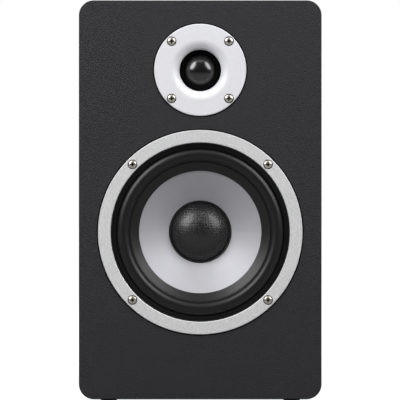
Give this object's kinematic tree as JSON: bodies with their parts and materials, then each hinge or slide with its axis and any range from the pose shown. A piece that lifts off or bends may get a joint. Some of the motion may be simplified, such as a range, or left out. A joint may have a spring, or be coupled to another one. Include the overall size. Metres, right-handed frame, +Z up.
{
  "type": "bookshelf speaker",
  "caption": "Upright black wooden speaker box with rounded long edges, a silver-coned woofer below a dome tweeter, a flared rear port and screw terminals.",
  "frame": {"origin": "under the middle of the whole object, on the plane its feet stand on", "axes": "+Z up; the baffle faces -Y and the terminals +Y; +X is to the right of someone facing the baffle"},
  "size_m": [0.202, 0.2653, 0.335],
  "materials": {
    "cabinet": "fibreboard wrapped in matt black vinyl with a fine leather grain outside, raw inside",
    "foot_rubber": "matt black rubber",
    "trim_silver": "satin silver, finely blasted, with bright bevels",
    "plate_silver": "pale satin silver",
    "foam_black": "closed-cell black foam",
    "basket_black": "black powder coat",
    "surround_rubber": "smooth black butyl rubber with a soft sheen",
    "cone_silver": "smooth satin silver-grey",
    "cap_black": "black coated weave with a dull sheen",
    "former": "amber film",
    "copper": "enamelled copper wire",
    "spider_cloth": "resin-stiffened tan cotton",
    "zinc_steel": "zinc plated steel",
    "ferrite": "dull dark grey ferrite",
    "fibre": "dark red-brown fibre board with tinned tags",
    "braid": "bare braided copper",
    "screw_bright": "bright plated steel",
    "screw_black": "black oxide steel",
    "dome_black": "black coated silk with a gloss",
    "moulded_black": "finely textured black plastic",
    "brass_gold": "gold plated brass",
    "red_plastic": "clear-coated red plastic",
    "black_plastic": "glossy black plastic",
    "board_green": "green solder mask",
    "nylon": "natural nylon",
    "bobbin_black": "black moulded plastic",
    "film_yellow": "yellow wrap with resin ends",
    "can_blue": "dark blue sleeve",
    "cement_white": "white cement",
    "wire_red": "red insulation",
    "wire_black": "black insulation",
    "polyester": "loose white polyester fibre"
  },
  "bodies": {
    "cabinet": {"front_baffle": "cabinet", "rear_panel": "cabinet", "left_panel": "cabinet", "right_panel": "cabinet", "top_panel": "cabinet", "bottom_panel": "cabinet", "rubber_feet": "foot_rubber", "woofer_trim_ring": "trim_silver", "woofer_gasket": "foam_black", "woofer_seal": "foam_black", "woofer_basket": "basket_black", "woofer_surround": "surround_rubber", "woofer_spider": "spider_cloth", "woofer_top_plate": "zinc_steel", "woofer_magnet": "ferrite", "woofer_back_plate": "zinc_steel", "woofer_terminals": "fibre", "woofer_leads": "braid", "woofer_screws": "screw_bright", "tweeter_faceplate": "plate_silver", "tweeter_seal": "foam_black", "tweeter_surround": "dome_black", "tweeter_top_plate": "zinc_steel", "tweeter_magnet": "ferrite", "tweeter_back_plate": "zinc_steel", "tweeter_terminals": "fibre", "tweeter_screws": "screw_bright", "bass_port": "moulded_black", "terminal_cup": "moulded_black", "terminal_seal": "foam_black", "terminal_screws": "screw_black", "positive_post": "brass_gold", "negative_post": "brass_gold", "positive_collar": "red_plastic", "negative_collar": "black_plastic", "solder_tags": "brass_gold", "post_nuts": "brass_gold", "crossover_board": "board_green", "board_spacers": "nylon", "board_screws": "zinc_steel", "board_blades": "zinc_steel", "inductor_bobbins": "bobbin_black", "inductor_windings": "copper", "tweeter_capacitor": "film_yellow", "woofer_capacitor": "can_blue", "resistors": "cement_white", "positive_wires": "wire_red", "negative_wires": "wire_black", "damping_wadding": "polyester"},
    "woofer_moving": {"woofer_cone": "cone_silver", "woofer_dust_cap": "cap_black", "woofer_coil_former": "former", "woofer_voice_coil": "copper"},
    "tweeter_moving": {"tweeter_dome": "dome_black", "tweeter_coil_former": "former", "tweeter_voice_coil": "copper"},
    "positive_washer": {"positive_washer": "brass_gold"},
    "positive_knob": {"positive_knob": "red_plastic"},
    "negative_washer": {"negative_washer": "brass_gold"},
    "negative_knob": {"negative_knob": "black_plastic"}
  },
  "joints": [
    {"name": "woofer_stroke", "type": "slide", "parent": "cabinet", "child": "woofer_moving", "axis": [0, 1, 0], "range_m": [-0.0045, 0.0045], "stiffness_N_per_m": 1200, "deforming": ["woofer_surround", "woofer_spider", "woofer_leads"]},
    {"name": "tweeter_stroke", "type": "slide", "parent": "cabinet", "child": "tweeter_moving", "axis": [0, 1, 0], "range_m": [-0.0005, 0.0005], "stiffness_N_per_m": 500, "deforming": ["tweeter_surround"]},
    {"name": "positive_knob_travel", "type": "slide", "parent": "cabinet", "child": "positive_washer", "axis": [0, 1, 0], "range_m": [0, 0.005]},
    {"name": "positive_knob_spin", "type": "hinge", "parent": "positive_washer", "child": "positive_knob", "pos_m": [-0.0095, 0.11765, 0.083], "axis": [0, 1, 0], "range_deg": [0, 2250.5]},
    {"name": "negative_knob_travel", "type": "slide", "parent": "cabinet", "child": "negative_washer", "axis": [0, 1, 0], "range_m": [0, 0.005]},
    {"name": "negative_knob_spin", "type": "hinge", "parent": "negative_washer", "child": "negative_knob", "pos_m": [0.0095, 0.11765, 0.083], "axis": [0, 1, 0], "range_deg": [0, 2250.5]}
  ],
  "couplings": [
    {"joint": "positive_knob_spin", "follows": "positive_knob_travel", "rad_per_m": 7854},
    {"joint": "negative_knob_spin", "follows": "negative_knob_travel", "rad_per_m": 7854}
  ]
}
